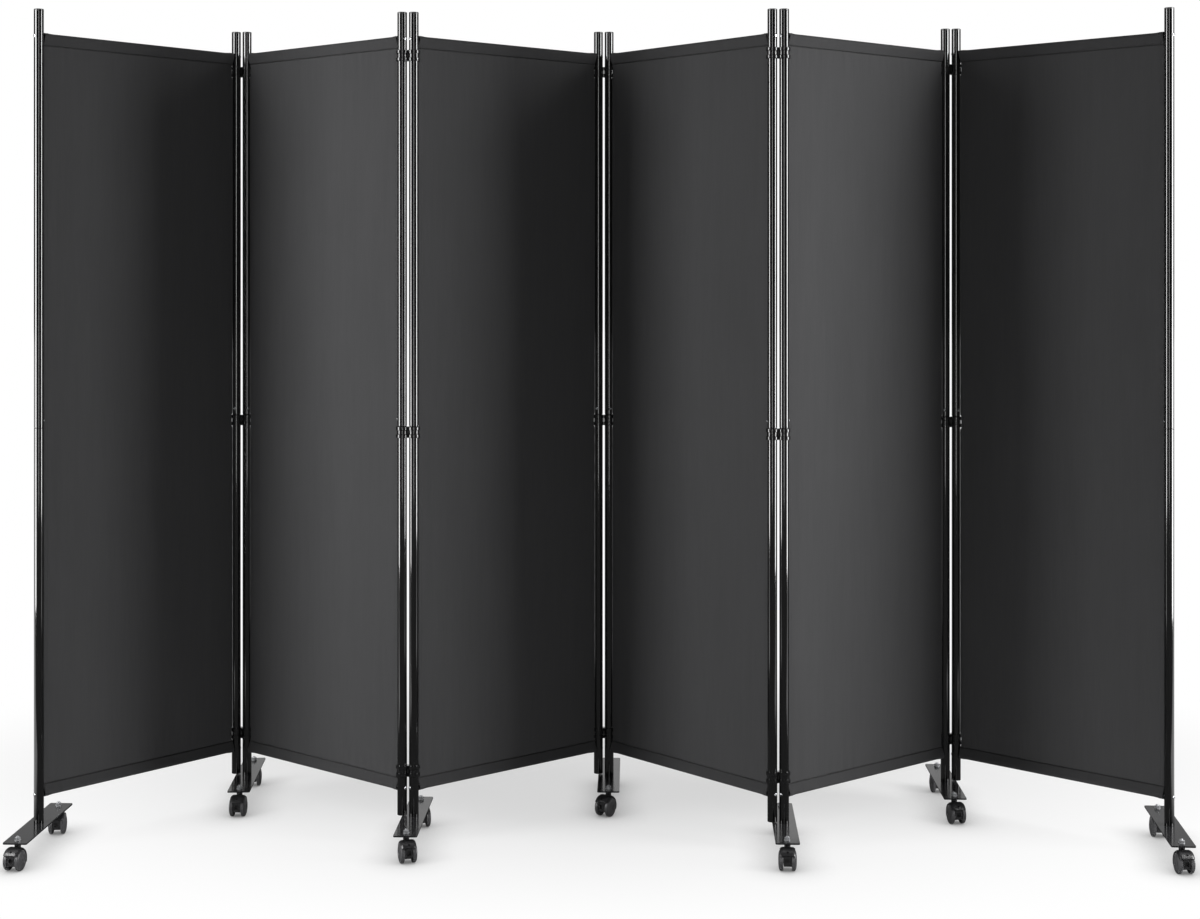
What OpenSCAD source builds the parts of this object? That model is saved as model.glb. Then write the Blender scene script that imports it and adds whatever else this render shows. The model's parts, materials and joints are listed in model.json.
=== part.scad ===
// Rolling room divider: six fabric panels in a zigzag, each hung between two
// two-piece round posts. Neighbouring posts turn in figure-eight clips, and
// seven base plates on twin-wheel casters carry the screen.
// +X runs along the screen, +Y to its back and +Z up. The origin is on the
// floor, below the middle of the corner between panels 3 and 4.

/* [Panels] */
// Distance between the two post axes of one panel
panel_pitch = 505; // [420:5:620]
// Height of a post, from the base plate to the top of its cap
post_h = 1660; // [1300:10:1900]
// Outside diameter of the posts
post_d = 20; // [18:0.5:22]
// Wall of the post tubes
tube_wall = 1.1; // [0.8:0.1:1.4]
// Height of the joint between the two tubes of a post, above the base plate
seam_h = 806; // [600:2:1000]
// Length of the narrowed tube end inside the upper tube
spigot_l = 60; // [30:5:100]
// Gap between the two posts of a corner
post_gap = 4; // [3.5:0.5:8]

/* [Cloth and rods] */
// Thickness of the cloth
cloth_t = 1.2; // [0.8:0.1:2]
// Diameter of the rods in the upper and lower hems
rod_d = 10; // [8:0.5:12]
// Upper rod axis below the top of the post
rod_top_drop = 55; // [40:1:70]
// Lower rod axis above the base plate
rod_foot_h = 58; // [45:1:75]
// Depth of the upper and lower hems
hem_h = 25; // [18:1:40]
// Width of the hems along the posts
side_hem_w = 12; // [8:1:20]
// Gap between the cloth and a post
cloth_gap = 1; // [0.6:0.1:2]

/* [Clips] */
// Height of a clip
clip_h = 23; // [18:1:30]
// Height of each of a clip's two flanges
clip_flange_h = 7.5; // [4:0.5:8]
// Width of a clip's flange around the post
clip_rim = 3; // [2:0.1:3.4]
// Upper clip below the top of the post, to its middle
clip_top_drop = 90; // [80:1:120]
// Lower clip above the base plate, to its middle
clip_foot_h = 93; // [85:1:120]
// Middle clip below the tube joint, from its top
clip_seam_drop = 2; // [2:1:30]

/* [Bases] */
// Length of a base plate
base_l = 290; // [240:5:400]
// Width of a base plate
base_w = 48; // [44:1:60]
// Thickness of a base plate
base_t = 3; // [2:0.5:5]
// Corner radius of a base plate
base_corner_r = 4; // [1:0.5:10]
// Caster stem from the end of the base plate
stem_inset = 20; // [15:1:30]

/* [Casters] */
// Height of the base plate's underside above the floor
caster_h = 52; // [50:1:60]
// Wheel diameter
wheel_d = 40; // [34:1:42]
// Width of one wheel, from its inner face to the crown of its cover
wheel_w = 9.5; // [8.5:0.1:10.5]
// Width of the housing between the wheels
web_w = 15.8; // [14:0.1:17]
// Wheel axle behind the swivel axis
trail = 13; // [11:0.5:15]
// Wall of the housing's hood
hood_wall = 3.6; // [2:0.1:4]

/* [Stance] */
// Turn of panel 1 from the line of the screen, in degrees
panel_1_yaw = 49; // [20:1:60]
// Turn of panel 2
panel_2_yaw = -41; // [-60:1:-20]
// Turn of panel 3
panel_3_yaw = 41; // [20:1:60]
// Turn of panel 4
panel_4_yaw = -49; // [-60:1:-20]
// Turn of panel 5
panel_5_yaw = 40; // [20:1:60]
// Turn of panel 6
panel_6_yaw = -43; // [-60:1:-20]
// Turn of the base below the left post of panel 1
base_1_yaw = -2.5; // [-10:0.5:10]
// Turn of the base below the left post of panel 2
base_2_yaw = 3; // [-10:0.5:10]
// Turn of the base below the left post of panel 3
base_3_yaw = -1.5; // [-10:0.5:10]
// Turn of the base below the left post of panel 4
base_4_yaw = -1; // [-10:0.5:10]
// Turn of the base below the left post of panel 5
base_5_yaw = -2.5; // [-10:0.5:10]
// Turn of the base below the right post of panel 5
base_6_yaw = -1.5; // [-10:0.5:10]
// Turn of the base below the right post of panel 6
base_7_yaw = -5.5; // [-10:0.5:10]

/* [Fits] */
// Radial clearance of a pin or axle in its bore
run_gap = 0.06; // [0.03:0.01:0.09]
// Gap between parts that are pushed together by hand
slip_gap = 0.2; // [0.1:0.05:0.3]
// Gap between faces that turn past each other
face_gap = 0.3; // [0.2:0.1:0.5]
// Gap between faces that are screwed or pressed together
seat_gap = 0.05; // [0.02:0.01:0.1]

/* [Hidden] */
$fn = 48;
panel_yaw = [panel_1_yaw, panel_2_yaw, panel_3_yaw, panel_4_yaw, panel_5_yaw, panel_6_yaw];
base_yaw = [base_1_yaw, base_2_yaw, base_3_yaw, base_4_yaw, base_5_yaw, base_6_yaw, base_7_yaw];
panels = len(panel_yaw);
bases = len(base_yaw);
// Each base stands below one post: its panel, and side 0 for left or 1 for right
base_panel = [0, 1, 2, 3, 4, 4, 5];
base_side = [0, 0, 0, 0, 0, 1, 1];
// Turn of each caster from its wheels lying straight in front of the stem, front and rear of each base
caster_turn = [[-10, 6], [-2, 4], [17, 14], [-30, -10], [-4, 0], [9, 2], [3, -4]];
caster_end = ["front", "rear"];

// Posts
post_r = post_d / 2;
bore_r = post_r - tube_wall;
post_pitch = post_d + post_gap;
plate_z = caster_h;
floor_z = plate_z + base_t;
top_z = floor_z + post_h;
seam_z = floor_z + seam_h;
foot_lift = 2.5;
tube_z = floor_z + foot_lift;
cap_t = 4;
cap_edge = 0.8;
cap_plug_l = 15;
foot_plug_l = 26;
plug_r = bore_r - slip_gap;
swage_h = 1.2;
seam_gap = 0.4;
spigot_r = bore_r - slip_gap;
spigot_bore_r = spigot_r - tube_wall;

// Rods and screws
rod_r = rod_d / 2;
rod_top_z = top_z - rod_top_drop;
rod_foot_z = floor_z + rod_foot_h;
rod_l = panel_pitch - post_d - 2 * face_gap;
rod_screw_r = 2.5;
rod_screw_grip = 18;
head_r = 3.8;
head_t = 1.8;
head_face = 0.4;
head_crown = 0.7;
cross_w = 0.24;
cross_l = 1.15;
cross_deep = 0.55;
dimple_t = 0.45;
lock_screw_r = 2;
lock_screw_l = 7;
lock_head_r = 3.2;
lock_head_t = 1.6;
lock_rise = 13;
lock_turn = -30;
screw_gap = 0.15;
foot_bolt_r = 4;
foot_bolt_grip = 24;
foot_head_r = 7.5;
foot_head_t = 4;

// Cloth
sleeve_bore_r = rod_r + face_gap;
sleeve_r = sleeve_bore_r + cloth_t;
cloth_edge = post_r + cloth_gap;
cloth_w = panel_pitch - 2 * cloth_edge;
hem_t = 2 * cloth_t;

// Clips
clip_r = post_r + clip_rim;
clip_bore_r = post_r + run_gap;
clip_sleeve_t = 1.1;
clip_sleeve_r = post_r + clip_sleeve_t;
clip_web_w = 6;
clip_web_t = 9;
clip_flange_web_more = 2;
clip_flange_web_t = clip_web_t + clip_flange_web_more;
clip_chamfer = 0.8;
clip_z = [floor_z + clip_foot_h, seam_z - clip_seam_drop - clip_h / 2, top_z - clip_top_drop];
notch_gap = 0.7;

// Bases and casters
stem_y = base_l / 2 - stem_inset;
stem_r = 3;
pin_r = 4;
collar_r = 5.2;
collar_t = 1.6;
washer_r = 6.5;
washer_t = 1.2;
nut_flats = 10;
nut_t = 5;
nut_bevel = 0.7;
stem_tip = 0.5;
stem_over_nut = 2.2;
stem_rise = washer_t + nut_t + stem_over_nut;
pin_edge = 0.6;
pin_end_gap = 1;
wheel_r = wheel_d / 2;
wheel_gap = 0.7;
wheel_in = web_w / 2 + wheel_gap;
wheel_out = wheel_in + wheel_w;
cover_rise = 3;
tread_out = wheel_out - cover_rise;
rim_t = 3.5;
rim_edge = 1;
cover_t = 4;
axle_r = 2.5;
axle_drop = 0.8;
wheel_hub_r = 6;
hood_gap = 1.4;
hood_in_r = wheel_r + hood_gap;
hood_r = hood_in_r + hood_wall;
hood_side = tread_out;
hood_from = -22;
hood_sweep = 167;
hood_shoulder = 5;
hood_round = 0.6;
hood_lip = 1.2;
hood_hole_w = 4;
hood_hole_deep = 2.4;
hood_hole_turn = 129;
housing_foot_z = 12;
web_back = 17;
hollow_w = 8;
hollow_h = 9;
hollow_deep = 4;
hollow_z = 18;
neck_h = 3.6;
neck_top_z = plate_z - collar_t - face_gap;
neck_r = 5.2;
boss_top_z = neck_top_z - neck_h;
boss_r = 6.2;
boss_sink = 3;
boss_foot_z = wheel_r + hood_in_r - boss_sink;
pin_over_axle = 8;
pin_foot_z = wheel_r + pin_over_axle;

// Where the posts stand, from the turn of each panel
function along(yaw) = [cos(yaw), sin(yaw), 0];
function chain(i) = i <= 0 ? [0, 0, 0]
  : chain(i - 1) + panel_pitch * along(panel_yaw[i - 1]) + [post_pitch, 0, 0];
function chain_end(i) = chain(i) + panel_pitch * along(panel_yaw[i]);
middle = (chain_end(2) + chain(3)) / 2;
function post_at(i, side) = (side == 0 ? chain(i) : chain_end(i)) - middle;
// True where a base stands below this post
function stands(i, side) =
  len([for (k = [0:bases - 1]) if (base_panel[k] == i && base_side[k] == side) k]) > 0;

module on_panel(i) {
  translate(post_at(i, 0)) rotate([0, 0, panel_yaw[i]]) children();
}

// A child drawn for the left post, with the cloth on its +X side, at both posts
module at_both_posts() {
  children();
  translate([panel_pitch, 0, 0]) mirror([1, 0, 0]) children();
}

module bar(r, l) {
  rotate([0, 90, 0]) cylinder(r = r, h = l);
}

// Posts

module rod_screw_cuts(z) {
  translate([-post_r - 1, 0, z]) bar(rod_screw_r + screw_gap, post_d + 2);
  translate([-post_r - 1, 0, z]) bar(head_r + slip_gap, 1 + dimple_t);
}

module lock_screw_cuts() {
  translate([0, 0, seam_z + lock_rise]) rotate([0, 0, lock_turn]) {
    bar(lock_screw_r + screw_gap, post_r + 1);
    translate([post_r - dimple_t, 0, 0]) bar(lock_head_r + slip_gap, 2);
  }
}

module upper_tube() {
  difference() {
    translate([0, 0, seam_z]) cylinder(r = post_r, h = top_z - cap_t - seam_z);
    translate([0, 0, seam_z - 1]) cylinder(r = bore_r, h = post_h);
    rod_screw_cuts(rod_top_z);
    lock_screw_cuts();
  }
}

// The lower tube narrows at the joint and its spigot slides into the upper one
module lower_tube() {
  shoulder = seam_z - seam_gap;
  difference() {
    rotate_extrude() polygon([
      [bore_r, tube_z], [post_r, tube_z], [post_r, shoulder - swage_h],
      [spigot_r, shoulder], [spigot_r, shoulder + spigot_l],
      [spigot_bore_r, shoulder + spigot_l], [spigot_bore_r, shoulder - swage_h],
      [bore_r, shoulder - 2 * swage_h]
    ]);
    rod_screw_cuts(rod_foot_z);
    lock_screw_cuts();
  }
}

module top_cap() {
  rotate_extrude() polygon([
    [0, top_z - cap_t - cap_plug_l], [plug_r, top_z - cap_t - cap_plug_l],
    [plug_r, top_z - cap_t + seat_gap], [post_r, top_z - cap_t + seat_gap], [post_r, top_z - cap_edge],
    [post_r - cap_edge, top_z], [0, top_z]
  ]);
}

// Standing posts rest on the plug's flange, and the others hang free above the plate
module foot_plug(standing) {
  if (standing) difference() {
    union() {
      translate([0, 0, floor_z + face_gap])
        cylinder(r = post_r, h = foot_lift - face_gap - seat_gap);
      translate([0, 0, floor_z + face_gap]) cylinder(r = plug_r, h = foot_plug_l);
    }
    translate([0, 0, floor_z]) cylinder(r = foot_bolt_r + screw_gap, h = foot_bolt_grip + 1);
  }
  else translate([0, 0, tube_z]) cylinder(r = plug_r, h = cap_plug_l);
}

module panel_posts(i) {
  color([0.06, 0.06, 0.07]) on_panel(i) {
    at_both_posts() {
      upper_tube();
      lower_tube();
      top_cap();
    }
    foot_plug(stands(i, 0));
    translate([panel_pitch, 0, 0]) foot_plug(stands(i, 1));
  }
}

// Rods and screws

module hem_rod(z) {
  difference() {
    translate([post_r + face_gap, 0, z]) bar(rod_r, rod_l);
    at_both_posts() translate([post_r, 0, z]) bar(rod_screw_r + screw_gap, rod_screw_grip + 1);
  }
}

// A domed head with a cross recess, drawn from its outer face towards +X
module pan_head(r, t) {
  difference() {
    rotate([0, 90, 0]) rotate_extrude() polygon([
      [0, 0],
      for (a = [0:18:90]) [
        r * (head_face + (1 - head_face) * sin(a)),
        t * head_crown * (1 - cos(a))
      ],
      [r, t], [0, t]
    ]);
    for (turn = [0, 90]) rotate([turn, 0, 0])
      translate([-t, -r * cross_w / 2, -r * cross_l / 2])
        cube([t * (1 + cross_deep), r * cross_w, r * cross_l]);
  }
}

module rod_screw(z) {
  translate([-post_r + dimple_t - head_t, 0, z]) pan_head(head_r, head_t);
  translate([-post_r + dimple_t, 0, z]) bar(rod_screw_r, post_d - dimple_t + rod_screw_grip);
}

module lock_screw() {
  translate([0, 0, seam_z + lock_rise]) rotate([0, 0, lock_turn]) mirror([1, 0, 0]) {
    translate([-post_r + dimple_t - lock_head_t, 0, 0]) pan_head(lock_head_r, lock_head_t);
    translate([-post_r + dimple_t, 0, 0]) bar(lock_screw_r, lock_screw_l);
  }
}

module foot_bolt() {
  translate([0, 0, plate_z - face_gap - foot_head_t])
    rotate([0, -90, 0]) pan_head(foot_head_r, foot_head_t);
  translate([0, 0, plate_z - face_gap])
    cylinder(r = foot_bolt_r, h = floor_z + foot_bolt_grip - plate_z);
}

module panel_rods_and_screws(i) {
  color([0.75, 0.75, 0.78]) on_panel(i) {
    hem_rod(rod_top_z);
    hem_rod(rod_foot_z);
    at_both_posts() {
      rod_screw(rod_top_z);
      rod_screw(rod_foot_z);
      lock_screw();
    }
    if (stands(i, 0)) foot_bolt();
    if (stands(i, 1)) translate([panel_pitch, 0, 0]) foot_bolt();
  }
}

// Cloth

module cloth_strip(x, w, z, h, t) {
  translate([x, -t / 2, z]) cube([w, t, h]);
}

module panel_fabric(i) {
  span = rod_top_z - rod_foot_z;
  color([0.2, 0.2, 0.2]) on_panel(i) difference() {
    union() {
      cloth_strip(cloth_edge, cloth_w, rod_foot_z, span, cloth_t);
      cloth_strip(cloth_edge, side_hem_w, rod_foot_z, span, hem_t);
      cloth_strip(cloth_edge + cloth_w - side_hem_w, side_hem_w, rod_foot_z, span, hem_t);
      cloth_strip(cloth_edge, cloth_w, rod_foot_z, hem_h - sleeve_r, hem_t);
      cloth_strip(cloth_edge, cloth_w, rod_top_z - hem_h + sleeve_r, hem_h - sleeve_r, hem_t);
      translate([cloth_edge, 0, rod_foot_z]) bar(sleeve_r, cloth_w);
      translate([cloth_edge, 0, rod_top_z]) bar(sleeve_r, cloth_w);
    }
    translate([0, 0, rod_foot_z]) bar(sleeve_bore_r, panel_pitch);
    translate([0, 0, rod_top_z]) bar(sleeve_bore_r, panel_pitch);
    // Room for the clips to turn
    at_both_posts() for (z = clip_z)
      translate([0, 0, z - clip_h / 2 - notch_gap])
        cylinder(r = clip_r + notch_gap, h = clip_h + 2 * notch_gap);
  }
}

// Clips

module clip_flange(z) {
  for (x = [0, post_pitch]) translate([x, 0, z]) rotate_extrude() polygon([
    [0, 0], [clip_r - clip_chamfer, 0], [clip_r, clip_chamfer],
    [clip_r, clip_flange_h - clip_chamfer], [clip_r - clip_chamfer, clip_flange_h],
    [0, clip_flange_h]
  ]);
  translate([post_pitch / 2 - clip_web_w / 2, -clip_flange_web_t / 2, z])
    cube([clip_web_w, clip_flange_web_t, clip_flange_h]);
}

// Two rings for two posts, with a waist between an upper and a lower flange
module clip() {
  difference() {
    union() {
      clip_flange(0);
      clip_flange(clip_h - clip_flange_h);
      for (x = [0, post_pitch]) translate([x, 0, 0]) cylinder(r = clip_sleeve_r, h = clip_h);
      translate([post_pitch / 2 - clip_web_w / 2, -clip_web_t / 2, 0])
        cube([clip_web_w, clip_web_t, clip_h]);
    }
    for (x = [0, post_pitch]) translate([x, 0, -1]) cylinder(r = clip_bore_r, h = clip_h + 2);
  }
}

module corner_clips(i) {
  color([0.1, 0.1, 0.1]) translate(post_at(i, 1))
    for (z = clip_z) translate([0, 0, z - clip_h / 2]) clip();
}

// Bases

module on_base(k) {
  translate(post_at(base_panel[k], base_side[k])) rotate([0, 0, base_yaw[k]]) children();
}

module plate_outline() {
  square([base_w - 2 * base_corner_r, base_l], center = true);
  square([base_w, base_l - 2 * base_corner_r], center = true);
  for (x = [-1, 1], y = [-1, 1])
    translate([x * (base_w / 2 - base_corner_r), y * (base_l / 2 - base_corner_r)])
      circle(r = base_corner_r);
}

module base_plate() {
  translate([0, 0, plate_z]) linear_extrude(base_t) difference() {
    plate_outline();
    circle(r = foot_bolt_r + run_gap);
    for (y = [-stem_y, stem_y]) translate([0, y]) circle(r = stem_r + slip_gap);
  }
}

// The stem passes up through the plate, and its pin carries the caster below
module caster_stem() {
  pin_z = pin_foot_z + pin_end_gap;
  rotate_extrude() polygon([
    [0, pin_z], [pin_r - pin_edge, pin_z], [pin_r, pin_z + pin_edge],
    [pin_r, plate_z - collar_t], [collar_r, plate_z - collar_t], [collar_r, plate_z - seat_gap],
    [stem_r, plate_z - seat_gap], [stem_r, floor_z + stem_rise - stem_tip],
    [stem_r - stem_tip, floor_z + stem_rise], [0, floor_z + stem_rise]
  ]);
}

module washer() {
  translate([0, 0, floor_z + seat_gap]) difference() {
    cylinder(r = washer_r, h = washer_t);
    translate([0, 0, -1]) cylinder(r = stem_r + slip_gap, h = washer_t + 2);
  }
}

// A hexagon nut with its corners turned off at both faces
module nut() {
  corner_r = nut_flats / sqrt(3);
  face_r = (nut_flats - nut_bevel) / 2;
  bevel_r = corner_r + nut_bevel;
  translate([0, 0, floor_z + washer_t + 2 * seat_gap]) difference() {
    intersection() {
      cylinder(r = corner_r, h = nut_t, $fn = 6);
      rotate_extrude() polygon([
        [0, 0], [face_r, 0], [bevel_r, nut_bevel], [bevel_r, nut_t - nut_bevel],
        [face_r, nut_t], [0, nut_t]
      ]);
    }
    translate([0, 0, -1]) cylinder(r = stem_r + screw_gap, h = nut_t + 2);
  }
}

module base(k) {
  color([0.12, 0.12, 0.13]) on_base(k) {
    base_plate();
    for (y = [-stem_y, stem_y]) translate([0, y, 0]) {
      caster_stem();
      washer();
      nut();
    }
  }
}

// Casters, drawn with the swivel axis at the origin and the hood's front towards +X

module on_caster(k, e) {
  on_base(k) translate([0, e == 0 ? -stem_y : stem_y, 0])
    rotate([0, 0, caster_turn[k][e] - base_yaw[k] + 90]) children();
}

// Turns a shape about Z into one about the wheel axle
module on_axle() {
  translate([-trail, 0, wheel_r]) rotate([90, 0, 0]) children();
}

module hood() {
  flat = hood_side - hood_shoulder;
  half_way = hood_side - hood_shoulder / 2;
  on_axle() rotate([0, 0, hood_from]) rotate_extrude(angle = hood_sweep) polygon([
    [hood_in_r, -hood_side], [hood_in_r + hood_lip, -hood_side], [hood_r - hood_round, -half_way],
    [hood_r, -flat], [hood_r, flat], [hood_r - hood_round, half_way],
    [hood_in_r + hood_lip, hood_side], [hood_in_r, hood_side]
  ]);
}

// A small square hole in the crown of the hood, on the side where the wheels show
module hood_hole() {
  on_axle() rotate([0, 0, hood_hole_turn])
    translate([hood_r - hood_hole_deep, -hood_hole_w / 2, -hood_hole_w / 2])
      cube([2 * hood_hole_deep, hood_hole_w, hood_hole_w]);
}

// The web between the wheels. Its back stands in from their treads
module housing_web() {
  intersection() {
    on_axle() cylinder(r = hood_r - hood_round, h = web_w, center = true);
    translate([-trail - web_back, -web_w, housing_foot_z])
      cube([web_back + hood_r, 2 * web_w, 2 * hood_r]);
  }
}

// A shallow hollow in the back of the web
module web_hollow() {
  translate([-trail - web_back - hollow_deep, -hollow_w / 2, hollow_z])
    cube([2 * hollow_deep, hollow_w, hollow_h]);
}

module caster_housing(k, e) {
  color([0.15, 0.15, 0.16]) on_caster(k, e) difference() {
    union() {
      hood();
      housing_web();
      translate([0, 0, boss_foot_z]) cylinder(r = boss_r, h = boss_top_z - boss_foot_z);
      translate([0, 0, wheel_r]) cylinder(r = neck_r, h = neck_top_z - wheel_r);
    }
    translate([0, 0, pin_foot_z]) cylinder(r = pin_r + run_gap, h = caster_h);
    on_axle() cylinder(r = axle_r + run_gap, h = 2 * web_w, center = true);
    hood_hole();
    web_hollow();
  }
}

// A wheel with a hub and a rim inside, and a domed cover outside
module wheel() {
  rotate_extrude() polygon([
    [axle_r + seat_gap, wheel_in], [wheel_hub_r, wheel_in], [wheel_hub_r, tread_out - cover_t],
    [wheel_r - rim_t, tread_out - cover_t], [wheel_r - rim_t, wheel_in], [wheel_r - rim_edge, wheel_in],
    [wheel_r, wheel_in + rim_edge], [wheel_r, tread_out - rim_edge],
    for (a = [15:15:90]) [
      wheel_r - (wheel_r - wheel_hub_r) * (1 - cos(a)),
      tread_out - rim_edge + (cover_rise + rim_edge) * sin(a)
    ],
    [wheel_hub_r - axle_drop, wheel_out - axle_drop], [axle_r + seat_gap, wheel_out - axle_drop]
  ]);
}

module caster_wheels(k, e) {
  color([0.2, 0.2, 0.21]) on_caster(k, e) on_axle() {
    wheel();
    mirror([0, 0, 1]) wheel();
    cylinder(r = axle_r, h = 2 * (wheel_out - 1.5 * axle_drop), center = true);
  }
}

for (i = [0:panels - 1]) {
  panel_fabric(i);
  panel_posts(i);
  panel_rods_and_screws(i);
}
for (i = [0:panels - 2])
  corner_clips(i);
for (k = [0:bases - 1]) {
  base(k);
  for (e = [0, 1]) {
    caster = str("caster_", k + 1, "_", caster_end[e]);
    caster_housing(k, e);
    caster_wheels(k, e);
  }
}
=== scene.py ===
# %% [markdown]
# A rolling room divider is six cloth panels between round black posts, on seven
# flat bases with twin-wheel casters. Everything stiff comes from the packed
# model, in metres. This lesson dresses it: it sews the cloth, gives each part
# its finish, and adds the small things that a close look shows.

# %% Load the frame
import json
import math

import bpy
import numpy as np
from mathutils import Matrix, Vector


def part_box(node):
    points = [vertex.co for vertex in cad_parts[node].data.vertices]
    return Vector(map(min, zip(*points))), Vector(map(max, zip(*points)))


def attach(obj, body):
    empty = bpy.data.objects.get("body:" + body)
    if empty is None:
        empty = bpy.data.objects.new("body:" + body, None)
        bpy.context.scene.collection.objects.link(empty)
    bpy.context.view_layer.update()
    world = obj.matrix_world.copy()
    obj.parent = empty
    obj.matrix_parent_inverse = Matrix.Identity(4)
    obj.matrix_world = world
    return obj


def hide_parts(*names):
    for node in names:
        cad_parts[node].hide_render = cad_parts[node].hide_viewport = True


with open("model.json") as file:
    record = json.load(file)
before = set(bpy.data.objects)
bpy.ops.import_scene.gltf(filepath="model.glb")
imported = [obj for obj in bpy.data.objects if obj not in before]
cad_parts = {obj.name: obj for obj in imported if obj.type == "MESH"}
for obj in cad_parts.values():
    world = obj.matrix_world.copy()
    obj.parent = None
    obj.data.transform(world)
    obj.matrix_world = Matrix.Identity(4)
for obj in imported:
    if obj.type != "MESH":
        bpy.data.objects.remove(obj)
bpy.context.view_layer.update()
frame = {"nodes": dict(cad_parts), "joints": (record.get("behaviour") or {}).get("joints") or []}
MM = 0.001
PANELS = 6
pivot = {joint["name"]: Vector(joint["pos_m"]) for joint in frame["joints"]}

# %% [markdown]
# Each panel hangs between two posts. The places of the posts could be typed in,
# but the joints of the packed model say them, so the cloth stays on its posts if
# the model is packed again. From two axes come a panel's own directions: along
# it, and to its back.

# %% Find the posts


def corner_posts(corner):
    """The two post axes that the clips of this corner hold, left and right."""
    clips = f"clips_{corner}_{corner + 1}"
    if corner < 3:
        return pivot[f"panel_{corner}_in_{clips}"], pivot[f"{clips}_on_panel_{corner + 1}"]
    return pivot[f"{clips}_on_panel_{corner}"], pivot[f"panel_{corner + 1}_in_{clips}"]


left_posts = [pivot["base_1_pivot"]]
right_posts = []
for corner in range(1, PANELS):
    right_post, next_left_post = corner_posts(corner)
    right_posts.append(right_post)
    left_posts.append(next_left_post)
right_posts.append(pivot["base_7_pivot"])


def panel_frame(i):
    """Origin, direction along the panel and direction to its back, as arrays."""
    start = np.array([left_posts[i].x, left_posts[i].y, 0])
    end = np.array([right_posts[i].x, right_posts[i].y, 0])
    along = (end - start) / np.linalg.norm(end - start)
    back = np.array([-along[1], along[0], 0])
    return start, along, back


panel_pitch = (right_posts[0].xy - left_posts[0].xy).length
print("post pitch of a panel", round(panel_pitch, 4))

# %% [markdown]
# The camera stands where the photographer stood, level, with a long lens. The
# picture is framed a little lower than the lens points, and a shift of the lens
# does that: it keeps the posts upright, which a tilt of the camera would not.

# %% Set the camera
LENS = 57.97
SENSOR_WIDTH = 36.0
LENS_SHIFT = -0.1557
CAMERA_PLACE = (-0.0084, -4.3246, 1.1769)

camera_data = bpy.data.cameras.new("camera")
camera_data.lens = LENS
camera_data.sensor_width = SENSOR_WIDTH
camera_data.shift_y = LENS_SHIFT
camera = bpy.data.objects.new("camera", camera_data)
camera.location = CAMERA_PLACE
camera.rotation_euler = (math.radians(90), 0, 0)
bpy.context.scene.collection.objects.link(camera)
bpy.context.scene.camera = camera
bpy.context.scene.view_settings.view_transform = "Standard"
print("camera at", CAMERA_PLACE, "with a lens of", LENS, "mm")

# %% [markdown]
# A finish is a material with a few texture nodes, and much of it is sums: this
# pattern times that mask, plus a little. Such sums could be wired by hand from
# Math nodes. A small class that stands for a socket is easier to read, because
# the sums are typed, and each one adds its Math node.

# %% Let sockets be added and compared


class Wire:
    """The output of a node. A sum or product of wires adds its Math node."""

    def __init__(self, nodes, socket):
        self.nodes = nodes
        self.socket = socket

    def math(self, operation, *inputs):
        return self.nodes.node("ShaderNodeMath", {"operation": operation}, dict(enumerate(inputs)))

    def __add__(self, other):
        return self.math("ADD", self, other)

    def __sub__(self, other):
        return self.math("SUBTRACT", self, other)

    def __rsub__(self, other):
        return self.math("SUBTRACT", other, self)

    def __mul__(self, other):
        return self.math("MULTIPLY", self, other)

    def __gt__(self, other):
        return self.math("GREATER_THAN", self, other)

    def __lt__(self, other):
        return self.math("LESS_THAN", self, other)

    def between(self, low, high):
        """Stretches 0 to 1 over the numbers from low to high."""
        return low + self * (high - low)

    def sine(self):
        return self.math("SINE", self)

    def size(self):
        """The number without its sign."""
        return self.math("ABSOLUTE", self)

    def at_least(self, other):
        return self.math("MAXIMUM", self, other)

    __radd__ = __add__
    __rmul__ = __mul__


print("signs that add Math nodes: + - * > <")

# %% [markdown]
# Every other node comes from one method, which makes it, sets it and plugs in its
# sockets. A material and the sky are both trees of nodes, so what both need stands
# in a class of its own: the place on a surface, a slope between two levels, and
# the kind of ray that looks.

# %% Add nodes to a tree


class Nodes:
    """A node tree, and short ways to add to it."""

    def __init__(self, tree):
        self.tree = tree

    def node(self, kind, settings=None, inputs=None, out=0):
        """Adds a node, sets it, feeds its sockets with values or wires, and gives one output."""
        made = self.tree.nodes.new(kind)
        for setting, value in (settings or {}).items():
            setattr(made, setting, value)
        for socket, value in (inputs or {}).items():
            self.feed(made.inputs[socket], value)
        return Wire(self, made.outputs[out])

    def feed(self, socket, value):
        if isinstance(value, Wire):
            self.tree.links.new(value.socket, socket)
        else:
            socket.default_value = value

    def place(self, source="Object"):
        """Where a point is: on its object, on its UV map, or in the sky, which is "Generated"."""
        return self.node("ShaderNodeTexCoord", out=source)

    def split(self, vector):
        """The three numbers of a vector."""
        first = self.node("ShaderNodeSeparateXYZ", inputs={0: vector})
        return [Wire(self, socket) for socket in first.socket.node.outputs]

    def rise(self, value, start, end, way="LINEAR"):
        """0 up to the start, 1 past the end and a slope between them."""
        inputs = {0: value, "From Min": start, "From Max": end}
        return self.node("ShaderNodeMapRange", {"interpolation_type": way}, inputs)

    def rays(self):
        """1 for the camera's rays, for reflected rays and for rays through glass, and else 0."""
        kinds = ("Camera", "Glossy", "Transmission")
        return [self.node("ShaderNodeLightPath", out=f"Is {kind} Ray") for kind in kinds]


print("short ways to nodes:", [name for name in vars(Nodes) if not name.startswith("_")])

# %% [markdown]
# Real surfaces are never one flat colour. Painted pictures could show that, but
# they blur in a close look. So each finish starts from plain values and lets soft
# noise drift its tone, its roughness and its height, at the scale of the real
# stuff, and it stays sharp from any distance.

# %% Start a finish


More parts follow.
